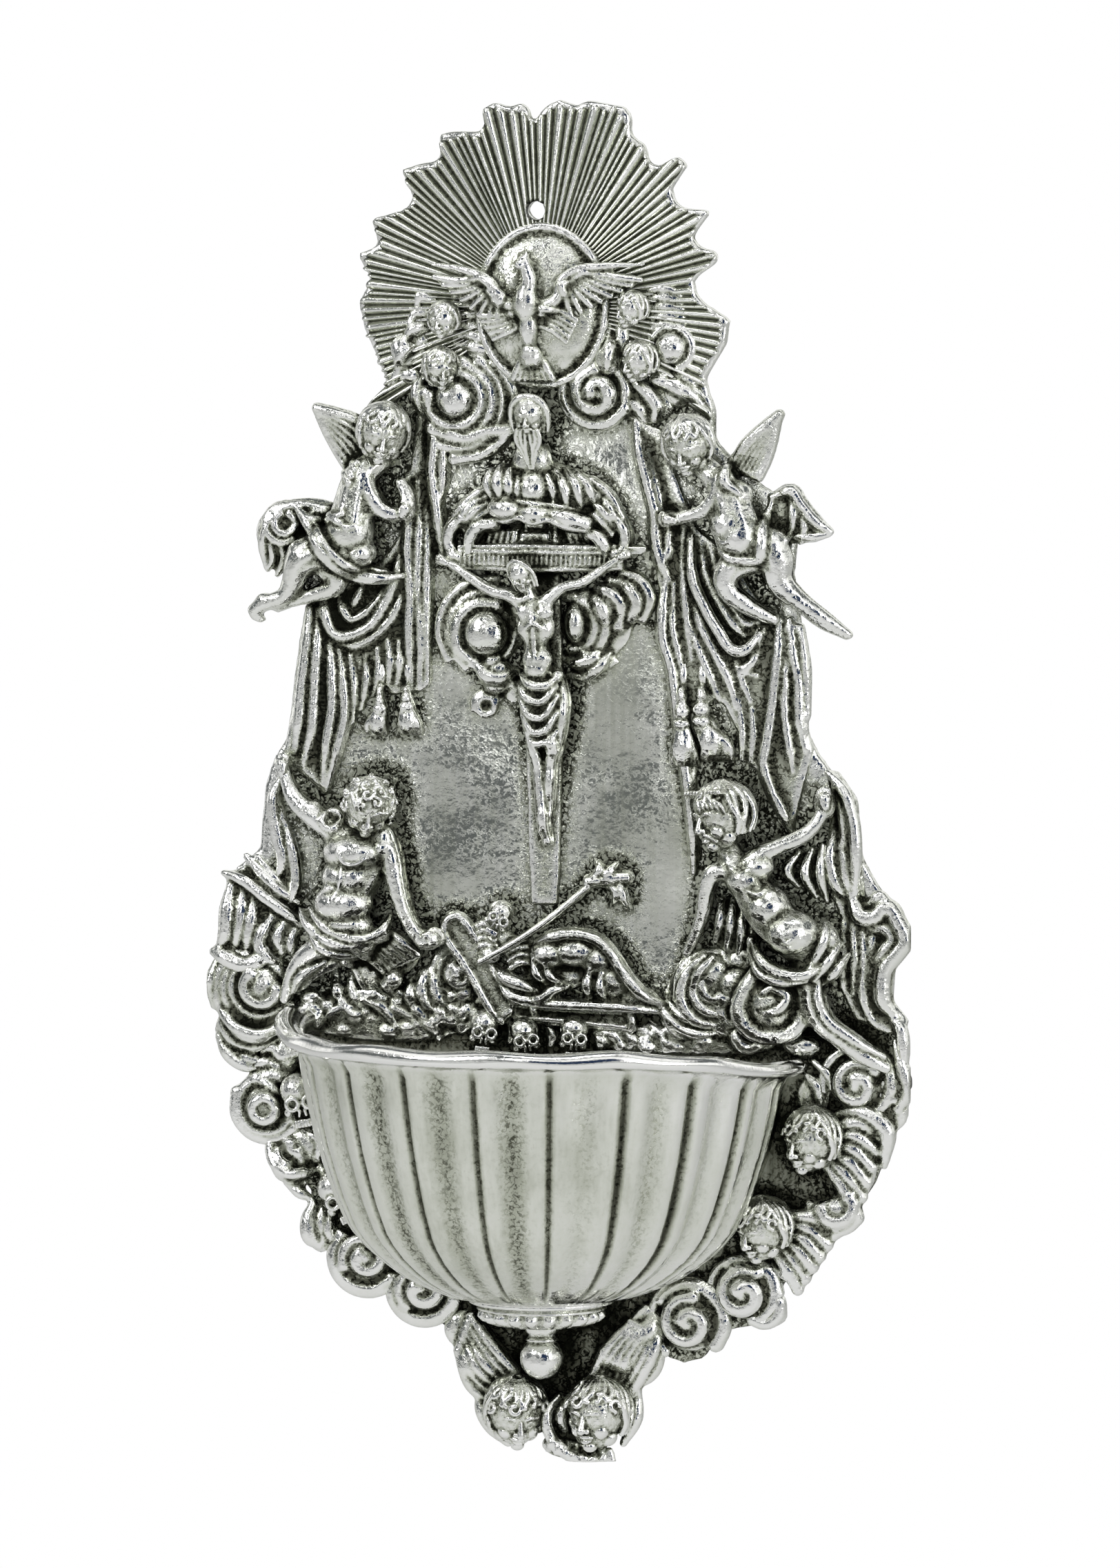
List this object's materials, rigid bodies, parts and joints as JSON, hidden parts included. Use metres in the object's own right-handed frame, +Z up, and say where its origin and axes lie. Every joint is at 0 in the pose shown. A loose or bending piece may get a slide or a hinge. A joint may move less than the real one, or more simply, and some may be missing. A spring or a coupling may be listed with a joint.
{
  "type": "wall holy water font",
  "caption": "Wall-hung holy water font: tall relief back plate with a ray top and crucifix, fluted half-round bowl and ball finial below.",
  "frame": {"origin": "centre of the hanging hole on the wall plane", "axes": "+Z up, the front faces -Y, +X to the right seen from the front"},
  "size_m": [0.1549, 0.0687, 0.2951],
  "materials": {
    "silver_plate": "silver-plated cast ground, antiqued dark in the recesses",
    "silver_relief": "silver-plated chased relief, polished high points over blackened hollows",
    "silver_bowl": "silver-plated satin bowl with grainy oxidised flutes and a polished rim",
    "screw_steel": "plain machined steel screw"
  },
  "bodies": {
    "root": {"back_plate": "silver_plate", "gadroon_collar": "silver_relief", "ball_finial": "silver_relief", "ray_panel": "silver_plate", "dove_medallion": "silver_relief", "dove": "silver_relief", "corpus": "silver_relief", "cross": "silver_relief", "father_figure": "silver_relief", "cherub_head_left_high": "silver_relief", "cherub_head_left_low": "silver_relief", "cherub_head_right_high": "silver_relief", "cherub_head_right_low": "silver_relief", "cloud_upper_left": "silver_relief", "cloud_upper_right": "silver_relief", "putto_upper_left": "silver_relief", "putto_upper_right": "silver_relief", "tassel_left_outer": "silver_relief", "tassel_left_inner": "silver_relief", "tassel_right_inner": "silver_relief", "tassel_right_outer": "silver_relief", "cloud_middle_left": "silver_relief", "cloud_middle_right": "silver_relief", "drape_left": "silver_relief", "drape_right": "silver_relief", "putto_lower_left": "silver_relief", "youth_lower_right": "silver_relief", "shrouded_figure": "silver_relief", "scythe_staff": "silver_relief", "coffin_lid": "silver_relief", "bier_board": "silver_relief", "small_face_left": "silver_relief", "small_face_middle": "silver_relief", "small_face_right": "silver_relief", "cloud_lower_left": "silver_relief", "cloud_lower_right": "silver_relief", "leaf_fold_left": "silver_relief", "scroll_drape_left": "silver_relief", "ribbon_right": "silver_relief", "cloud_edge_left_high": "silver_relief", "cloud_edge_left_low": "silver_relief", "skull_left_high": "silver_relief", "skull_left_low": "silver_relief", "volute_left_high": "silver_relief", "volute_left_low": "silver_relief", "volute_right_high": "silver_relief", "cherub_edge_high": "silver_relief", "cherub_edge_low": "silver_relief", "volute_right_middle": "silver_relief", "volute_right_low": "silver_relief", "cherub_foot_left": "silver_relief", "cherub_foot_right": "silver_relief", "bowl": "silver_bowl", "bowl_screw_1": "screw_steel", "bowl_screw_2": "screw_steel"}
  },
  "joints": []
}
